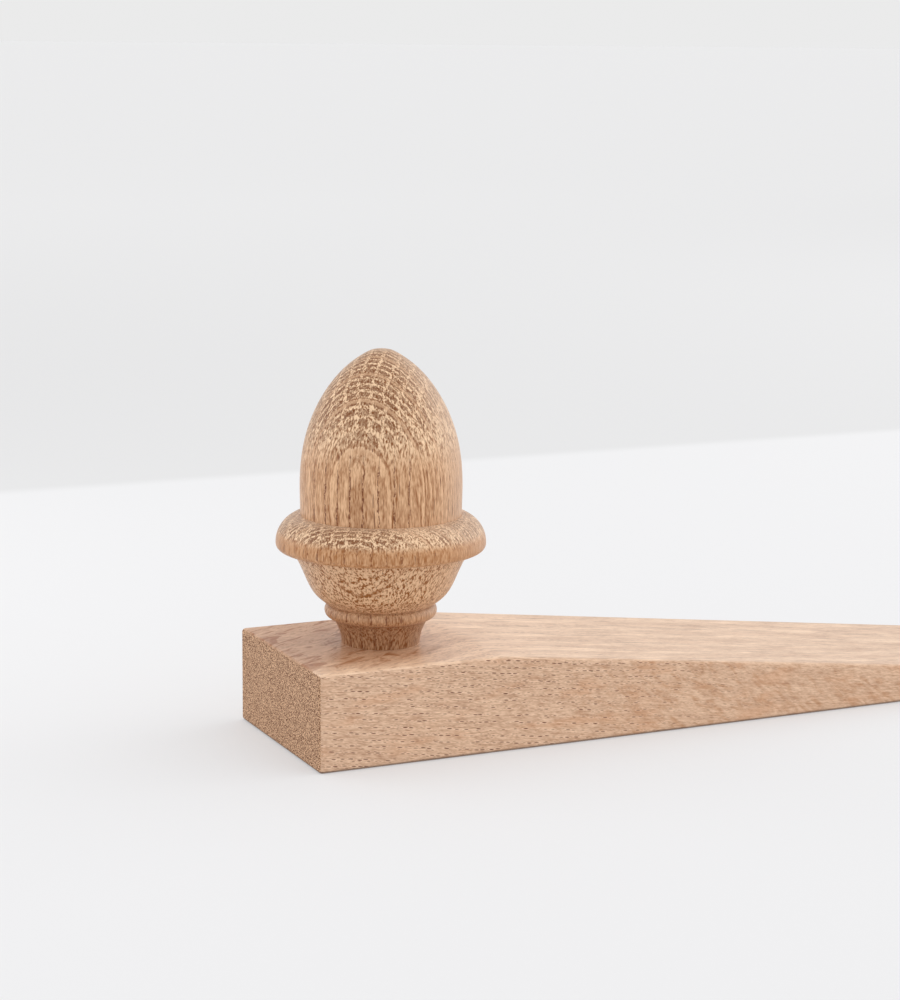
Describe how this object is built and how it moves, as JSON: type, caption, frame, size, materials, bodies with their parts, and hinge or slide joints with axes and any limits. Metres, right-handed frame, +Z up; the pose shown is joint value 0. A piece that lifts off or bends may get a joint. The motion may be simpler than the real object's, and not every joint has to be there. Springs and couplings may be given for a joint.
{
  "type": "door wedge",
  "caption": "Long oak door wedge with a level thick end, a gentle ramp and a turned acorn handle for pulling it out.",
  "frame": {"origin": "middle of the bounding box's base, on the sole", "axes": "+X along the wedge to its thin tip, +Y across it, +Z up along the acorn's axis"},
  "size_m": [0.22, 0.05, 0.0912],
  "materials": {
    "oak_board": "sanded bare oak, matt",
    "oak_turning": "turned and sanded bare oak, matt",
    "screw_steel": "zinc plated"
  },
  "bodies": {
    "root": {"wedge_body": "oak_board", "acorn_handle": "oak_turning", "handle_screw": "screw_steel"}
  },
  "joints": []
}
